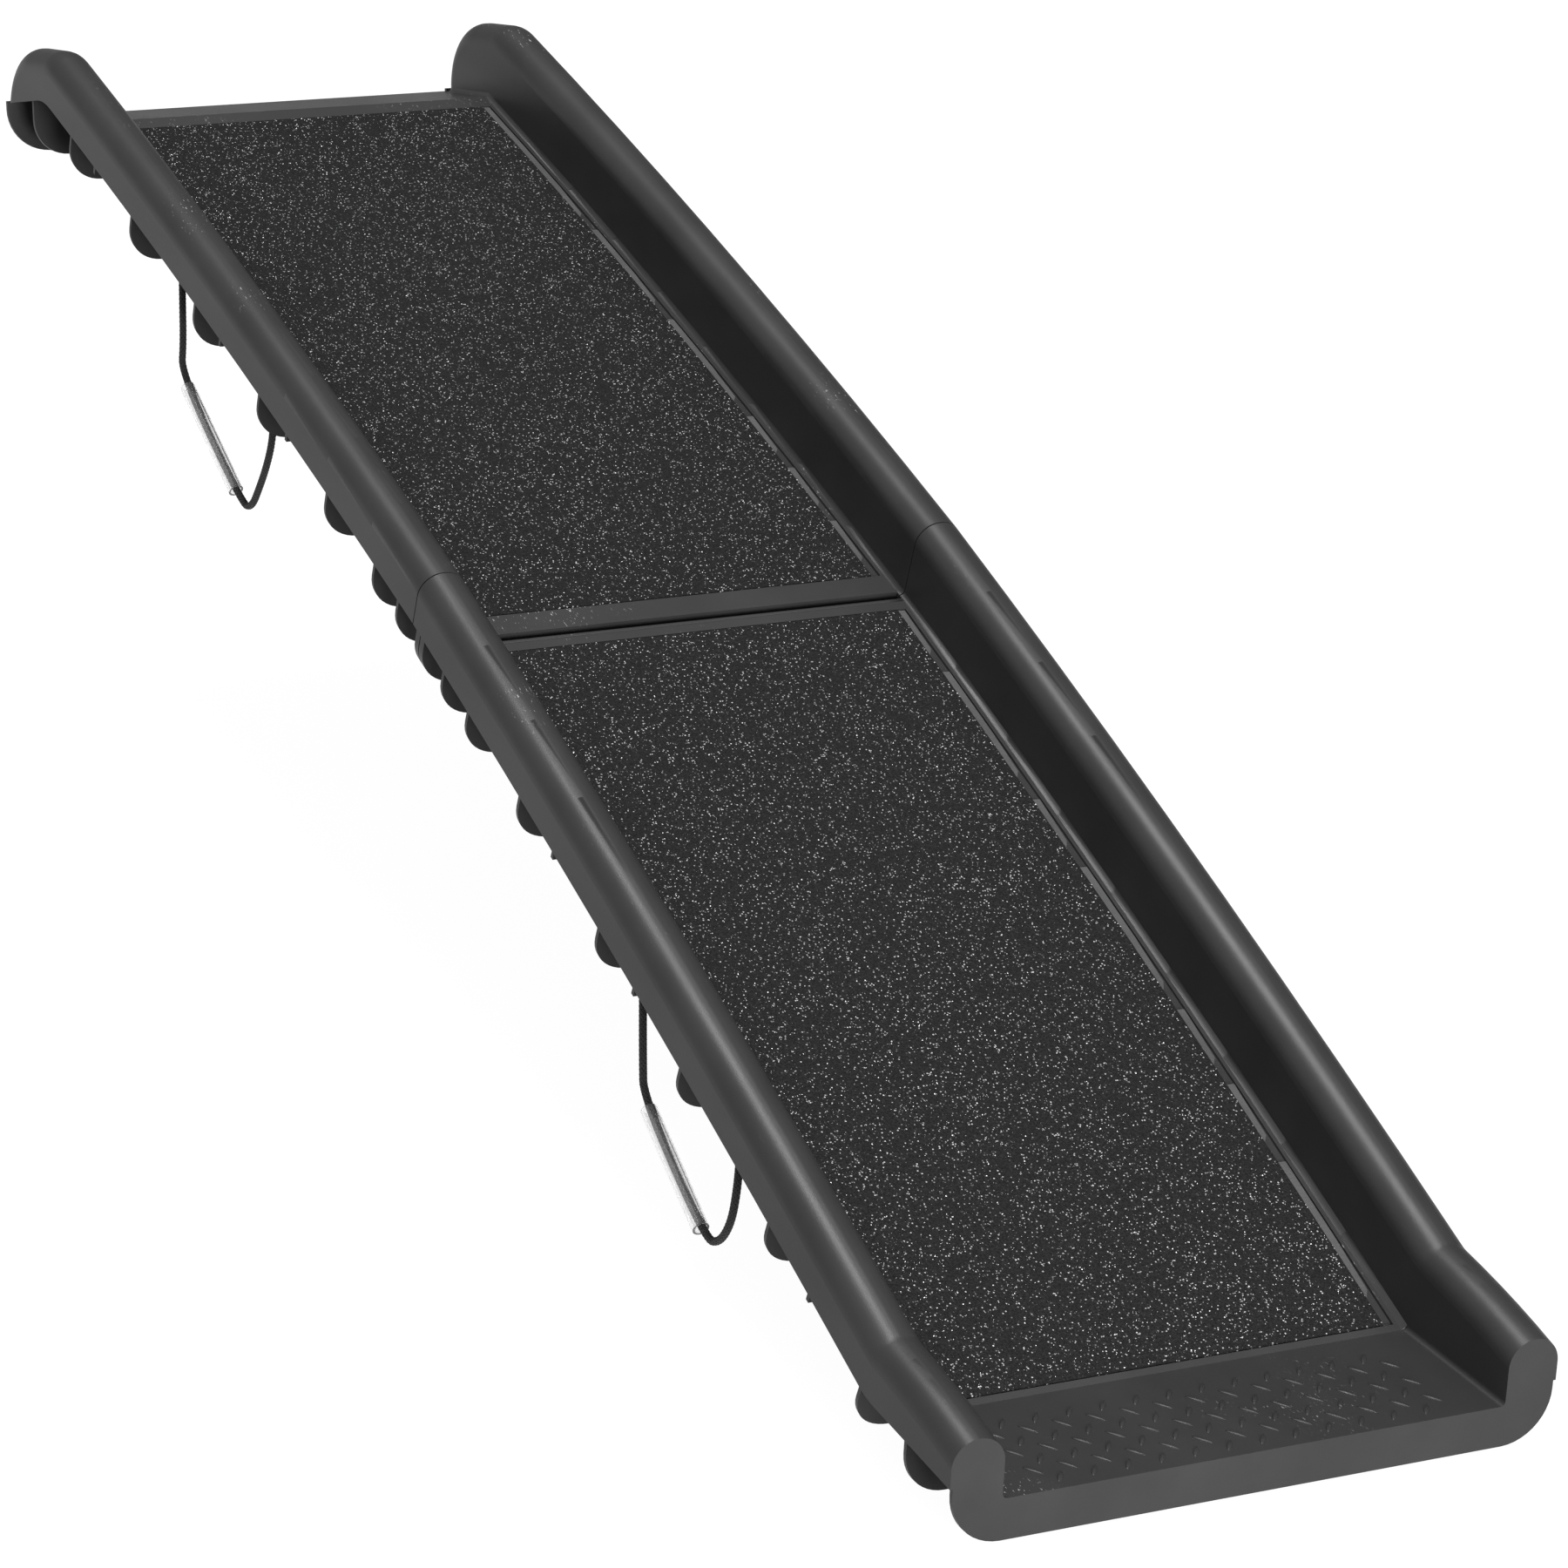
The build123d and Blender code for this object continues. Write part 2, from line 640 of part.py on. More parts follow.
def cord(points, name):
    radii = loop_radii(points)
    print(name, "radii", [round(radius, 1) for radius in radii])
    with BuildPart() as solid:
        with BuildLine() as path:
            FilletPolyline(*points, radius=radii)
        with BuildSketch(Plane(origin=points[0], z_dir=points[1] - points[0])):
            Circle(CORD_RADIUS)
        sweep()
    length = sum(edge.length for edge in path.edges())
    print(name, "length", round(length, 1), "volume", round(solid.part.volume, 1))
    print(name, "section x length", round(pi * CORD_RADIUS**2 * length, 1))
    return solid


def hitch(anchor, bar):
    """The knot round a crossbar, as a plain ring that turns on it."""
    with BuildPart() as solid:
        with BuildSketch(Plane(origin=anchor, z_dir=bar)):
            Circle(HITCH_RADIUS)
            Circle(PIN_RADIUS + HITCH_CLEARANCE, mode=Mode.SUBTRACT)
        extrude(amount=HITCH_LENGTH / 2, both=True)
    return solid


def sleeve(points, name):
    """The hand sleeve, centred on the loop's straight run."""
    first = points[SLEEVE_RUN]
    last = points[SLEEVE_RUN + 1]
    radii = loop_radii(points)
    direction = (last - first).normalized()
    before = 0.45 * min((first - points[SLEEVE_RUN - 1]).length, (last - first).length)
    after = 0.45 * min((points[SLEEVE_RUN + 2] - last).length, (last - first).length)
    room = (last - first).length - before - after
    print(name, "straight", round(room, 1), "radii beside", round(radii[SLEEVE_RUN - 1], 1))
    start = first + direction * (before + (room - SLEEVE_LENGTH) / 2)
    print(name, "from", start, "along", direction)
    with BuildPart() as solid:
        with BuildSketch(Plane(origin=start, z_dir=direction)):
            Circle(SLEEVE_OUTER)
            Circle(SLEEVE_INNER, mode=Mode.SUBTRACT)
        extrude(amount=SLEEVE_LENGTH)
    return solid


# ---------------------------------------------------------------- the pieces
upper_near, upper_far = anchors(UPPER, UPPER_ANCHORS)
lower_near, lower_far = anchors(LOWER, LOWER_ANCHORS)
upper_route = loop_points(upper_far, upper_near, UPPER_LOOP)
lower_route = loop_points(lower_near, lower_far, LOWER_LOOP)

pieces = {
    "upper_panel": panel(UPPER, upper_crown, UPPER_MAT, 0, ROD_RADIUS, UPPER_ANCHORS),
    "lower_panel": panel(LOWER, lower_crown, LOWER_MAT, 1, ROD_RADIUS + ROD_CLEARANCE, LOWER_ANCHORS),
    "upper_grip_mat": grip_mat(UPPER, UPPER_MAT),
    "lower_grip_mat": grip_mat(LOWER, LOWER_MAT),
    "upper_rest_strip": rest_strip(UPPER),
    "lower_rest_strip": rest_strip(LOWER),
    "hinge_rod": hinge_rod(),
    "hinge_cap_left": hinge_cap(-1),
    "hinge_cap_right": hinge_cap(1),
    "upper_loop_cord": cord(upper_route, "upper_loop_cord"),
    "lower_loop_cord": cord(lower_route, "lower_loop_cord"),
    "upper_hitch_near": hitch(upper_near, upper_far - upper_near),
    "upper_hitch_far": hitch(upper_far, upper_far - upper_near),
    "lower_hitch_near": hitch(lower_near, lower_far - lower_near),
    "lower_hitch_far": hitch(lower_far, lower_far - lower_near),
    "upper_sleeve": sleeve(upper_route, "upper_sleeve"),
    "lower_sleeve": sleeve(lower_route, "lower_sleeve"),
}

for name, piece in pieces.items():
    piece.part.label = name
    export_step(piece.part, "parts/" + name + ".step")

print("hinge", HINGE, "upper hitches", upper_near, upper_far, "lower hitches", lower_near, lower_far)
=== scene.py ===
"""Looks of the folding dog ramp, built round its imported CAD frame. Metres, in the row frame."""

import json
import math
import random

import bmesh
import bpy
from mathutils import Matrix, Vector


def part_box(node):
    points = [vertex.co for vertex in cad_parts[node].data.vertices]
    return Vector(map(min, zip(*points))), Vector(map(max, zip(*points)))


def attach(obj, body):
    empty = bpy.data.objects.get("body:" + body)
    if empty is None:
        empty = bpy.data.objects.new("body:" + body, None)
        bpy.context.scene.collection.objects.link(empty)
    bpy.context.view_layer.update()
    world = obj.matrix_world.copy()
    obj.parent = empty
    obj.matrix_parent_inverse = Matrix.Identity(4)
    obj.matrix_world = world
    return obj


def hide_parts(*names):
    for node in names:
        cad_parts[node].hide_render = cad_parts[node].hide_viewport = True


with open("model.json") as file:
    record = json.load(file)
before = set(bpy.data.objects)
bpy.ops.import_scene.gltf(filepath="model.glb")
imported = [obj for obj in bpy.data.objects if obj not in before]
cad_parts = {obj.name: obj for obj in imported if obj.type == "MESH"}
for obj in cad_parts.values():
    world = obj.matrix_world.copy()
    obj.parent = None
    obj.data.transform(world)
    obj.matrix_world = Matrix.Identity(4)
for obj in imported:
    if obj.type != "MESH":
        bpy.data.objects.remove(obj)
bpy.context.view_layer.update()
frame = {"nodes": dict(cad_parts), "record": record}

# ---------------------------------------------------------------- camera
CAMERA_PLACE = Vector((3.73845, -1.4626, 1.0037))
CAMERA_YAW = 2.6688
CAMERA_PITCH = -0.3525
CAMERA_ROLL = 0.0538
CAMERA_LENS = 131.16

# ---------------------------------------------------------------- cords
# As part.py works them out: the seam's X and Z on the tread, the middles of the hitch rings in the
# order in which each route runs down the ramp, and the routes' lengths.
SEAM = (0.73155, -0.120695)
HITCH_Y = -0.162
HITCHES = {
    "upper": {
        "far": Vector((0.276778, HITCH_Y, 0.007399)),
        "near": Vector((0.44886, HITCH_Y, -0.032974)),
    },
    "lower": {
        "near": Vector((1.03224, HITCH_Y, -0.205747)),
        "far": Vector((1.16664, HITCH_Y, -0.253715)),
    },
}
# The free points of part.py's loops: distance down the ramp from the seam, distance across from
# the hitches, height over the seam.
FREE_POINTS = {
    "upper": (
        (-0.4489, -0.0010, 0.0946),
        (-0.4430, -0.0022, 0.0660),
        (-0.4422, -0.0036, 0.0456),
        (-0.3452, 0.0036, -0.0163),
        (-0.3265, 0.0030, -0.0135),
        (-0.3111, 0.0020, 0.0043),
        (-0.2962, 0.0010, 0.0238),
        (-0.2855, 0.0005, 0.0445),
        (-0.2829, 0.0000, 0.0660),
    ),
    "lower": (
        (0.3009, 0.0012, -0.1200),
        (0.3018, 0.0024, -0.1539),
        (0.3036, 0.0029, -0.1743),
        (0.4039, -0.0029, -0.2191),
        (0.4205, -0.0025, -0.2137),
        (0.4320, -0.0018, -0.1973),
        (0.4356, -0.0010, -0.1766),
        (0.4360, -0.0003, -0.1550),
    ),
}
CORD_START = 0.005
CORD_WIDTH = 0.005

CORE_REACH = 0.3
YARN_CENTRE = 0.375
YARN_WEAVE = 0.035
YARN_REACH = (0.09, 0.165)

KNOT_WIDTH = 0.0034
KNOT_RADIUS = 0.0048
KNOT_LENGTH = 0.0056
KNOT_TURNS = 2.5
KNOT_STEPS = 90

# ---------------------------------------------------------------- grains, tread bumps, bead and margins
GRAIN_COUNT = 9000
# The smallest grain's size, and how much larger the largest is.
GRAIN_SIZE = 0.00022
GRAIN_EXTRA = 0.0003
GRAIN_SINK = 0.0001
UP_FACING = 0.7

LIP_RISE = 0.027
LIP_LENGTH = 0.1
LUG_RINGS = 8
LUG_PITCH = (0.02135, 0.02025)
LUG_SPREAD = 0.128
LUG_LENGTH = 0.0125
LUG_WIDTH = 0.0036
LUG_HEIGHT = 0.0008
LUG_SLANT = (0.82, 0.57)
# How a lug fades towards its ends: the share that stays, and the power of the fading.
LUG_END_SHARE = 0.12
LUG_END_POWER = 0.7
# A lug's section: place across and height, as shares of its half width and its height.
LUG_SECTION = ((-1, -0.3), (-0.72, 0.5), (-0.3, 0.93), (0.3, 0.93), (0.72, 0.5), (1, -0.3))
# Each set of rows: its slant, the first row's distance past the bend, its rows, its first column.
LUG_ROWS = ((1, 0.0348, 3, -0.0415), (-1, 0.0242, 4, -0.0314))

SEAM_SLOPE = 17.17
BEAD_OFFSET = 0.0053
BEAD_LENGTH = 0.298
BEAD_REACH = (0.0011, 0.0008)
BEAD_STEPS = 30

# A mat margin's section: distance out from the sheet's edge, and depth under the sheet's top.
MARGIN_SECTION = ((0.0001, 0.0006), (0.0052, 0.0009), (0.0052, 0.0021), (0.0001, 0.0021))
SAME_EDGE = 0.00001

# ---------------------------------------------------------------- studio
FLOOR_REACH = 40.0
FLOOR_DROP = 0.0002
RAMP_MIDDLE = (0.72, 0.0, -0.13)
GLOW_FROM = (0.4, -0.7, 0.6)
GLOW_RANGE = (-0.6, 0.9)
GLOW_STRENGTH = (0.2, 1.1)
# A light's name, place, size and power.
LIGHTS = (
    ("key_box", (-0.2, -0.45, 6.3), (0.9, 4.0), 860.0),
    ("front_box", (5.6, -0.3, 0.3), (2.4, 1.2), 780.0),
)


def link(name, data):
    """A new object in the scene that holds data."""
    thing = bpy.data.objects.new(name, data)
    bpy.context.scene.collection.objects.link(thing)
    return thing


def aim_camera():
    """The scene's camera, turned by a yaw, a pitch and a roll."""
    level = math.cos(CAMERA_PITCH)
    ahead = Vector((level * math.cos(CAMERA_YAW), level * math.sin(CAMERA_YAW), math.sin(CAMERA_PITCH)))
    right = ahead.cross(Vector((0, 0, 1))).normalized()
    up = right.cross(ahead)
    turned_right = math.cos(CAMERA_ROLL) * right + math.sin(CAMERA_ROLL) * up
    turned_up = -math.sin(CAMERA_ROLL) * right + math.cos(CAMERA_ROLL) * up
    data = bpy.data.cameras.new("camera")
    data.lens = CAMERA_LENS
    data.sensor_width = 36.0
    data.clip_start = 0.05
    data.clip_end = 200.0
    camera = link("camera", data)
    pose = Matrix((turned_right, turned_up, -ahead)).transposed().to_4x4()
    pose.translation = CAMERA_PLACE
    camera.matrix_world = pose
    bpy.context.scene.camera = camera


aim_camera()


# ---------------------------------------------------------------- node trees
class Tree:
    """A material's nodes, with short ways to add them."""

    def __init__(self, name):
        self.material = bpy.data.materials.new(name)
        self.material.use_nodes = True
        self.tree = self.material.node_tree
        self.shader = self.tree.nodes["Principled BSDF"]
        self.place = self.add("ShaderNodeTexCoord").outputs["Object"]

    def add(self, kind, inputs=None, **settings):
        node = self.tree.nodes.new(kind)
        for key, value in settings.items():
            setattr(node, key, value)
        for key, value in (inputs or {}).items():
            self.give(node.inputs[key], value)
        return node

    def give(self, socket, value):
        if isinstance(value, bpy.types.NodeSocket):
            self.tree.links.new(value, socket)
        else:
            socket.default_value = value

    def set(self, **values):
        """Shader sockets by name, with _ for a space."""
        for key, value in values.items():
            self.give(self.shader.inputs[key.replace("_", " ")], value)

    def noise(self, scale, detail=3.0, roughness=0.55, vector=None):
        inputs = {"Scale": scale, "Detail": detail, "Roughness": roughness}
        inputs["Vector"] = vector or self.place
        return self.add("ShaderNodeTexNoise", inputs).outputs["Fac"]

    def cells(self, scale, output="Distance", **settings):
        inputs = {"Scale": scale, "Vector": self.place}
        return self.add("ShaderNodeTexVoronoi", inputs, **settings).outputs[output]

    def stretched(self, scale):
        node = self.add("ShaderNodeMapping", {"Vector": self.place, "Scale": scale})
        return node.outputs["Vector"]

    def remap(self, value, low, high, out_low=0.0, out_high=1.0):
        node = self.add("ShaderNodeMapRange", {0: value, 1: low, 2: high, 3: out_low, 4: out_high})
        return node.outputs[0]

    def math(self, operation, first, second=0.0):
        return self.add("ShaderNodeMath", {0: first, 1: second}, operation=operation).outputs[0]

    def mix(self, factor, first, second):
        """A colour between two, by factor."""
        node = self.add("ShaderNodeMix", data_type="RGBA")
        self.give(node.inputs[0], factor)
        self.give(node.inputs[6], first)
        self.give(node.inputs[7], second)
        return node.outputs[2]

    def bump(self, height, strength, distance):
        inputs = {"Height": height, "Strength": strength, "Distance": distance}
        return self.add("ShaderNodeBump", inputs).outputs["Normal"]

    def up(self):
        """How far the surface faces up, from -1 to 1."""
        normal = self.add("ShaderNodeTexCoord").outputs["Normal"]
        return self.add("ShaderNodeSeparateXYZ", {0: normal}).outputs["Z"]


def grey(value):
    return (value, value, value, 1.0)


def make_panel_plastic():
    """Matt black moulded plastic: fine grain, faint flow mottling and scuffs on its crowns."""
    t = Tree("panel_plastic")
    mottle = t.noise(14.0, 4.0)
    flow = t.noise(1.0, 3.0, vector=t.stretched((3.0, 22.0, 22.0)))
    base = t.mix(t.remap(mottle, 0.3, 0.7), grey(0.0095), grey(0.0125))
    facing_up = t.remap(t.up(), 0.55, 0.95)
    patches = t.remap(t.noise(9.0, 2.0), 0.56, 0.68)
    lines = t.remap(t.noise(1.0, 2.0, vector=t.stretched((260.0, 900.0, 40.0))), 0.66, 0.72)
    scuffs = t.math("MULTIPLY", t.math("MULTIPLY", lines, patches), facing_up)
    dust = t.remap(t.cells(310.0), 0.06, 0.02)
    dusty = t.math("MULTIPLY", dust, t.remap(t.noise(26.0, 2.0), 0.6, 0.75))
    worn = t.mix(scuffs, base, grey(0.16))
    t.set(Base_Color=t.mix(t.math("MULTIPLY", dusty, 0.3), worn, grey(0.12)))
    rough = t.remap(flow, 0.3, 0.7, 0.4, 0.45)
    t.set(Roughness=t.math("ADD", rough, t.math("MULTIPLY", scuffs, 0.12)))
    t.set(IOR=1.40, Specular_IOR_Level=0.22)
    grain = t.math("ADD", t.noise(1900.0, 2.0), t.math("MULTIPLY", t.noise(420.0, 2.0), 0.6))
    t.set(Normal=t.bump(grain, 0.16, 0.00035))
    return t.material


def make_mat_surface():
    """Grip sheet: coarse dark grit with pale flecks, partly the grit's own tone and partly painted glints.
    """
    t = Tree("grip_mat")
    grit = t.cells(900.0, feature="SMOOTH_F1")
    flecks = t.cells(820.0, output="Color")
    chance = t.add("ShaderNodeSeparateColor", {0: flecks}).outputs[0]
    inside = t.remap(t.cells(820.0), 0.5, 0.3)
    # Pale flecks in the base colour: partly the grit's own tone, partly painted glints.
    fleck_and_glint_mask = t.math("MULTIPLY", t.remap(chance, 0.88, 1.0), inside)
    patchy = t.remap(t.noise(60.0, 3.0), 0.35, 0.65, 0.75, 1.15)
    dark = t.mix(t.remap(grit, 0.1, 0.7), grey(0.0025), grey(0.008))
    t.set(Base_Color=t.mix(t.math("MULTIPLY", fleck_and_glint_mask, patchy), dark, grey(0.22)))
    t.set(Roughness=t.remap(chance, 0.0, 1.0, 0.95, 0.7))
    t.set(IOR=1.40, Specular_IOR_Level=0.06)
    height = t.math("ADD", t.math("MULTIPLY", grit, -1.0), t.noise(1500.0, 2.0))
    t.set(Normal=t.bump(height, 0.45, 0.0006))
    return t.material


def make_grain_surface():
    """The coarsest grains of the grip sheet, pale and a little glossy."""
    t = Tree("grip_grains")
    tone = t.noise(330.0, 1.0, 0.5)
    t.set(Base_Color=t.mix(t.remap(tone, 0.35, 0.65), grey(0.03), grey(0.42)))
    t.set(Roughness=t.remap(tone, 0.3, 0.7, 0.5, 0.24))
    t.set(IOR=1.5)
    t.set(Normal=t.bump(t.noise(2600.0, 2.0), 0.4, 0.0003))
    return t.material


def make_rubber():
    """Dull black rubber with fine ribs."""
    t = Tree("rest_rubber")
    grain = t.noise(900.0, 3.0)
    t.set(Base_Color=t.mix(t.remap(t.noise(40.0), 0.35, 0.65), grey(0.014), grey(0.022)))
    t.set(Roughness=t.remap(grain, 0.3, 0.7, 0.72, 0.88), IOR=1.45)
    wave = {"Vector": t.place, "Scale": 110.0, "Distortion": 0.0}
    ribs = t.add("ShaderNodeTexWave", wave, bands_direction="X")
    t.set(Normal=t.bump(t.math("ADD", ribs.outputs["Fac"], grain), 0.3, 0.0004))
    return t.material


def make_steel():
    """Drawn steel rod, with some brownish spots."""
    t = Tree("hinge_steel")
    lathe = t.noise(1.0, 3.0, vector=t.stretched((2400.0, 60.0, 2400.0)))
    t.set(Base_Color=t.mix(t.remap(t.noise(220.0), 0.55, 0.75), grey(0.55), (0.33, 0.29, 0.25, 1.0)))
    t.set(Metallic=1.0, Roughness=t.remap(lathe, 0.3, 0.7, 0.24, 0.42))
    t.set(Normal=t.bump(lathe, 0.2, 0.0001))
    return t.material


def make_cap_plastic():
    """Black plastic, a little glossier than the panels."""
    t = Tree("cap_plastic")
    t.set(Base_Color=t.mix(t.remap(t.noise(120.0), 0.35, 0.65), grey(0.012), grey(0.02)))
    t.set(Roughness=t.remap(t.noise(700.0), 0.3, 0.7, 0.34, 0.48), IOR=1.45)
    t.set(Normal=t.bump(t.noise(1600.0, 2.0), 0.2, 0.0003))
    return t.material


def make_cord_surface():
    """Black polyester yarn."""
    t = Tree("loop_cord")
    fibres = t.noise(5200.0, 2.0)
    t.set(Base_Color=t.mix(t.remap(fibres, 0.35, 0.7), grey(0.004), grey(0.012)))
    t.set(Roughness=t.remap(fibres, 0.3, 0.7, 0.6, 0.85), IOR=1.4)
    t.set(Sheen_Weight=0.05, Sheen_Roughness=0.5, Specular_IOR_Level=0.3)
    t.set(Normal=t.bump(fibres, 0.5, 0.0002))
    return t.material


def make_clear_plastic():
    """Clear tube, faintly hazy and a little scratched."""
    t = Tree("clear_sleeve")
    haze = t.noise(160.0, 3.0)
    streaks = t.noise(1.0, 2.0, vector=t.stretched((120.0, 700.0, 200.0)))
    t.set(Base_Color=t.mix(t.remap(haze, 0.3, 0.7), grey(0.86), grey(0.94)))
    t.set(Roughness=t.remap(streaks, 0.3, 0.7, 0.03, 0.08))
    t.set(Transmission_Weight=0.94, IOR=1.47)
    t.set(Normal=t.bump(streaks, 0.04, 0.0002))
    return t.material


def make_floor_surface():
    """A plain pale floor that glows, so that it stays almost white under the ramp."""
    t = Tree("studio_floor")
    t.set(Base_Color=t.mix(t.remap(t.noise(2.0), 0.3, 0.7), grey(0.03), grey(0.035)))
    t.set(Roughness=0.9, Specular_IOR_Level=0.1)
    t.set(Emission_Color=grey(1.0), Emission_Strength=0.97)
    return t.material


SURFACES = {
    "panel_plastic": make_panel_plastic(),
    "grip_mat": make_mat_surface(),
    "rest_rubber": make_rubber(),
    "hinge_steel": make_steel(),
    "cap_plastic": make_cap_plastic(),
    "loop_cord": make_cord_surface(),
    "clear_sleeve": make_clear_plastic(),
}
GRAINS = make_grain_surface()

for part in frame["record"]["subparts"]:
    node = frame["nodes"].get(part["node"])
    if node is not None:
        for holder in node.material_slots:
            holder.material = SURFACES[part["material_slot"]]


# ---------------------------------------------------------------- cords and knots
def cord_route(side):
    """The same route as in part.py: a little off one hitch, the free points, a little off the other."""
    first, last = HITCHES[side].values()
    middle = []
    for down, across, rise in FREE_POINTS[side]:
        middle.append(Vector((SEAM[0] + down, HITCH_Y + across, SEAM[1] + rise)))
    start = first + (middle[0] - first).normalized() * CORD_START
    end = last + (middle[-1] - last).normalized() * CORD_START
    return [start] + middle + [end]


def spline_points(points):
    """Points read from the NURBS spline that has these control points."""
    data = bpy.data.curves.new("route", "CURVE")
    data.dimensions = "3D"
    data.resolution_u = 30
    spline = data.splines.new("NURBS")
    spline.points.add(len(points) - 1)
    for place, point in zip(spline.points, points):
        place.co = (*point, 1.0)
    spline.order_u = 3
    spline.use_endpoint_u = True
    holder = link("route", data)
    bpy.context.view_layer.update()
    mesh = bpy.data.meshes.new_from_object(holder)
    found = [vertex.co.copy() for vertex in mesh.vertices]
    bpy.data.objects.remove(holder)
    bpy.data.curves.remove(data)
    bpy.data.meshes.remove(mesh)
    return found


def even_stations(points, step):
    """Places along a line of points at even distances, each with its distance and two cross axes."""
    places = []
    side = (points[1] - points[0]).orthogonal().normalized()
    done = 0.0
    due = 0.0
    for first, second in zip(points, points[1:]):
        run = (second - first).length
        if run < 1e-9:
            continue
        ahead = (second - first) / run
        side = (side - ahead * side.dot(ahead)).normalized()
        while due <= done + run:
            places.append((first + ahead * (due - done), due, side.copy(), ahead.cross(side)))
            due += step
        done += run
    return places


def tube(builder, centres, reach, sides):
    """A closed tube round a line of places, each a centre and two cross axes, with a reach for each axis."""
    rings = []
    for centre, across, over in centres:
        ring = []
        for number in range(sides):
            turn = math.tau * number / sides
            out = reach[0] * math.cos(turn) * across + reach[1] * math.sin(turn) * over
            ring.append(builder.verts.new(centre + out))
        rings.append(ring)
    for before, after in zip(rings, rings[1:]):
        for number in range(sides):
            other = (number + 1) % sides
            builder.faces.new((before[number], before[other], after[other], after[number]))
    builder.faces.new(list(reversed(rings[0])))
    builder.faces.new(rings[-1])


def braid(name, points, width, step=0.00075, yarns=6, pitch=0.018):
    """A braided cord along a line of points: a core, and yarns that wind both ways over and under."""
    builder = bmesh.new()
    places = even_stations(points, step)
    core = [(centre, side, over) for centre, _, side, over in places[::4]]
    tube(builder, core, (CORE_REACH * width, CORE_REACH * width), 6)
    for way in (-1, 1):
        for number in range(yarns):
            line = []
            for centre, distance, side, over in places:
                turn = math.tau * (number / yarns + way * distance / pitch)
                weave = math.cos(math.tau * yarns * distance / pitch)
                reach = width * (YARN_CENTRE + YARN_WEAVE * way * weave)
                out = math.cos(turn) * side + math.sin(turn) * over
                around = -math.sin(turn) * side + math.cos(turn) * over
                line.append((centre + reach * out, out, around))
            tube(builder, line, (YARN_REACH[0] * width, YARN_REACH[1] * width), 6)
    return finish_mesh(name, builder, "loop_cord")


def finish_mesh(name, builder, slot, smooth=True, material=None):
    """An object from the built mesh, with the material given, else the one for its record slot."""
    bmesh.ops.recalc_face_normals(builder, faces=builder.faces)
    data = bpy.data.meshes.new(name)
    builder.to_mesh(data)
    builder.free()
    for face in data.polygons:
        face.use_smooth = smooth
    data.materials.append(material or SURFACES[slot])
    thing = link(name, data)
    return thing


def knot(name, anchor, bar, node, body):
    """The cord's end, wound round its crossbar within the room of its CAD ring."""
    across = bar.orthogonal().normalized()
    over = bar.cross(across)
    line = []
    for number in range(KNOT_STEPS + 1):
        share = number / KNOT_STEPS
        turn = math.tau * KNOT_TURNS * share
        out = math.cos(turn) * across + math.sin(turn) * over
        line.append(anchor + KNOT_RADIUS * out + bar * (share - 0.5) * KNOT_LENGTH)
    piece = braid(name, line, KNOT_WIDTH, step=0.0006, yarns=5, pitch=0.012)
    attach(piece, body)
    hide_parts(node)
    return piece


for side in ("upper", "lower"):
    body = side + "_loop"
    points = spline_points(cord_route(side))
    rope = braid(side + "_cord_braid", points, CORD_WIDTH)
    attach(rope, body)
    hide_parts(side + "_loop_cord")
    first, last = HITCHES[side].values()
    bar = (last - first).normalized()
    for label, anchor in HITCHES[side].items():
        hitch = side + "_hitch_" + label
        knot(side + "_knot_" + label, anchor, bar, hitch, body)


# ---------------------------------------------------------------- grains of the grip mats
def scatter_grains(name, node, body, count, seed):
    """Small faceted grains standing out of a mat's upper face."""
    draw = random.Random(seed)
    source = frame["nodes"][node].data
    source.calc_loop_triangles()
    faces = []
    total = 0.0
    for triangle in source.loop_triangles:
        if triangle.normal.z > UP_FACING:
            total += triangle.area
            faces.append((total, triangle))
    builder = bmesh.new()
    index = 0
    for number in range(count):
        goal = total * (number + draw.random()) / count
        while faces[index][0] < goal and index < len(faces) - 1:
            index += 1
        triangle = faces[index][1]
        corners = [source.vertices[corner].co for corner in triangle.vertices]
        a = draw.random()
        b = draw.random()
        if a + b > 1:
            a = 1 - a
            b = 1 - b
        place = corners[0] + a * (corners[1] - corners[0]) + b * (corners[2] - corners[0])
        size = GRAIN_SIZE + GRAIN_EXTRA * draw.random() ** 3
        turn = draw.random() * math.tau
        ring = []
        for corner in range(4):
            angle = turn + corner * math.tau / 4 + 0.5 * draw.random()
            reach = size * (0.7 + 0.6 * draw.random())
            low = Vector((math.cos(angle) * reach, math.sin(angle) * reach, -GRAIN_SINK))
            ring.append(builder.verts.new(place + low))
        lean_x = 0.3 * size * draw.uniform(-1, 1)
        lean_y = 0.3 * size * draw.uniform(-1, 1)
        top = builder.verts.new(place + Vector((lean_x, lean_y, size * 0.9)))
        for corner in range(4):
            builder.faces.new((ring[corner], ring[(corner + 1) % 4], top))
        builder.faces.new(list(reversed(ring)))
    grains = finish_mesh(name, builder, "grip_mat", smooth=False, material=GRAINS)
    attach(grains, body)


scatter_grains("upper_mat_grains", "upper_grip_mat", "upper_half", GRAIN_COUNT, 11)
scatter_grains("lower_mat_grains", "lower_grip_mat", "lower_half", GRAIN_COUNT, 12)


# ---------------------------------------------------------------- tread bumps and seam bead
GROUND = min(mount["pos_m"][2] for mount in frame["record"]["mounts"])
LIP_TOP = GROUND + LIP_RISE
LIP_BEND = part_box("lower_panel")[1].x - LIP_LENGTH


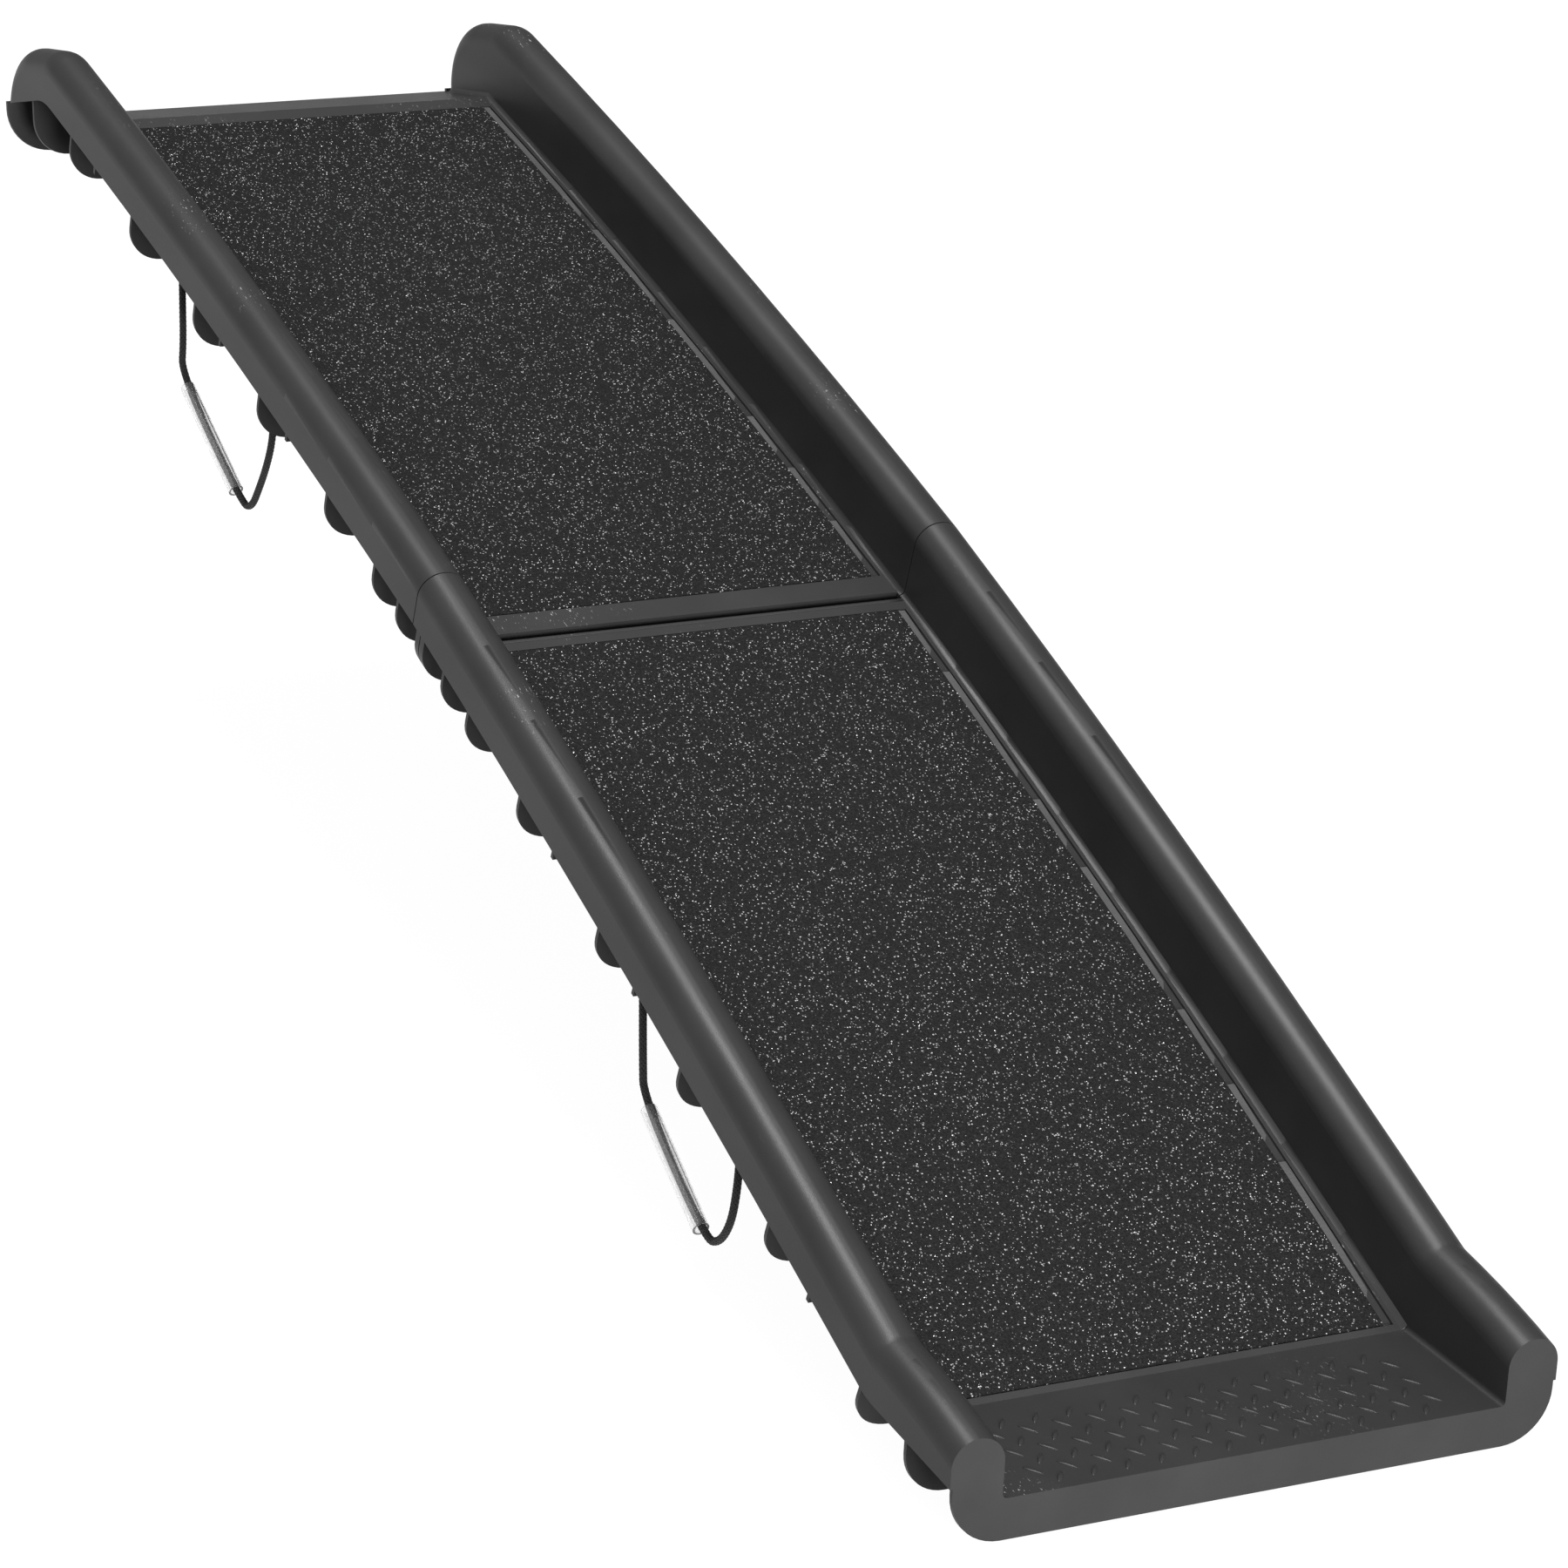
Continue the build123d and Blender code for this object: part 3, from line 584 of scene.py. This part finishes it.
def lug(builder, centre, along):
    """One raised lug of the tread pattern: a low lens, faded out at its ends."""
    side = Vector((-along.y, along.x, 0))
    rings = []
    for number in range(LUG_RINGS + 1):
        share = number / LUG_RINGS
        fade = max(LUG_END_SHARE, math.sin(math.pi * share) ** LUG_END_POWER)
        place = centre + along * LUG_LENGTH * (share - 0.5)
        ring = []
        for across, rise in LUG_SECTION:
            out = side * across * LUG_WIDTH * fade / 2
            ring.append(builder.verts.new(place + out + Vector((0, 0, rise * LUG_HEIGHT * fade))))
        rings.append(ring)
    for first, second in zip(rings, rings[1:]):
        for number in range(-1, len(LUG_SECTION) - 1):
            builder.faces.new((first[number], first[number + 1], second[number + 1], second[number]))
    builder.faces.new(list(reversed(rings[0])))
    builder.faces.new(rings[-1])


def tread_pattern():
    """Raised lugs in two slants, row by row over the lower lip."""
    builder = bmesh.new()
    for slant, first_row, rows, offset in LUG_ROWS:
        along = Vector((LUG_SLANT[0], LUG_SLANT[1] * slant, 0)).normalized()
        for row in range(rows):
            for column in range(-6, 10):
                y = offset + LUG_PITCH[1] * column
                if abs(y) > LUG_SPREAD:
                    continue
                x = LIP_BEND + first_row + LUG_PITCH[0] * row
                lug(builder, Vector((x, y, LIP_TOP)), along)
    lugs = finish_mesh("lip_tread_lugs", builder, "panel_plastic")
    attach(lugs, "lower_half")


tread_pattern()


def seam_bead():
    """The low moulded bead along the lower deck's edge at the seam."""
    builder = bmesh.new()
    slope = math.radians(SEAM_SLOPE)
    along = Vector((math.cos(slope), 0, -math.sin(slope)))
    up = Vector((math.sin(slope), 0, math.cos(slope)))
    middle = Vector((SEAM[0], 0, SEAM[1])) + along * BEAD_OFFSET
    line = []
    for number in range(BEAD_STEPS + 1):
        y = BEAD_LENGTH * (number / BEAD_STEPS - 0.5)
        line.append((middle + Vector((0, y, 0)), along, up))
    tube(builder, line, BEAD_REACH, 10)
    bead = finish_mesh("seam_bead", builder, "panel_plastic")
    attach(bead, "lower_half")


seam_bead()


def mat_margins(name, node, body):
    """The sheet's bare rubber margin, along each side, lower than its grit."""
    source = frame["nodes"][node].data
    reach = max(vertex.co.y for vertex in source.vertices)
    tops = {}
    for vertex in source.vertices:
        if abs(vertex.co.y - reach) < SAME_EDGE:
            key = round(vertex.co.x, 3)
            tops[key] = max(tops.get(key, vertex.co.z), vertex.co.z)
    line = [Vector((x, 0, z)) for x, z in sorted(tops.items())]
    builder = bmesh.new()
    for side in (-1, 1):
        rings = []
        for point in line:
            ring = []
            for out, drop in MARGIN_SECTION:
                ring.append(builder.verts.new(point + Vector((0, side * (reach + out), -drop))))
            rings.append(ring)
        for first, second in zip(rings, rings[1:]):
            for number in range(-1, len(MARGIN_SECTION) - 1):
                corners = (first[number], first[number + 1], second[number + 1], second[number])
                builder.faces.new(corners)
        builder.faces.new(list(reversed(rings[0])))
        builder.faces.new(rings[-1])
    margins = finish_mesh(name, builder, "grip_mat", smooth=False, material=SURFACES["rest_rubber"])
    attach(margins, body)


mat_margins("upper_mat_margins", "upper_grip_mat", "upper_half")
mat_margins("lower_mat_margins", "lower_grip_mat", "lower_half")


# ---------------------------------------------------------------- studio
def softbox(name, place, size, power):
    """A rectangular light that faces the ramp."""
    data = bpy.data.lights.new(name, "AREA")
    data.shape = "RECTANGLE"
    data.size = size[0]
    data.size_y = size[1]
    data.energy = power
    lamp = link(name, data)
    lamp.location = place
    ahead = Vector(RAMP_MIDDLE) - Vector(place)
    lamp.rotation_euler = ahead.to_track_quat("-Z", "Y").to_euler()


def light_world():
    """A soft white room, brightest towards GLOW_FROM and dim opposite it."""
    world = bpy.data.worlds.new("studio")
    world.use_nodes = True
    tree = world.node_tree
    place = tree.nodes.new("ShaderNodeTexCoord")
    facing = tree.nodes.new("ShaderNodeVectorMath")
    facing.operation = "DOT_PRODUCT"
    facing.inputs[1].default_value = Vector(GLOW_FROM).normalized()
    glow = tree.nodes.new("ShaderNodeMapRange")
    glow.interpolation_type = "SMOOTHSTEP"
    for number, value in enumerate(GLOW_RANGE + GLOW_STRENGTH, start=1):
        glow.inputs[number].default_value = value
    back = tree.nodes["Background"]
    back.inputs[0].default_value = (1.0, 1.0, 1.0, 1.0)
    tree.links.new(place.outputs["Generated"], facing.inputs[0])
    tree.links.new(facing.outputs["Value"], glow.inputs[0])
    tree.links.new(glow.outputs[0], back.inputs[1])
    bpy.context.scene.world = world


def build_studio():
    """The floor, the room's glow and the lights."""
    builder = bmesh.new()
    bmesh.ops.create_grid(builder, x_segments=8, y_segments=8, size=FLOOR_REACH)
    data = bpy.data.meshes.new("studio_floor")
    builder.to_mesh(data)
    builder.free()
    data.materials.append(make_floor_surface())
    floor = link("studio_floor", data)
    floor.location = (0.0, 0.0, GROUND - FLOOR_DROP)
    light_world()
    for name, place, size, power in LIGHTS:
        softbox(name, place, size, power)
    scene = bpy.context.scene
    scene.view_settings.view_transform = "Standard"
    scene.view_settings.look = "None"


build_studio()
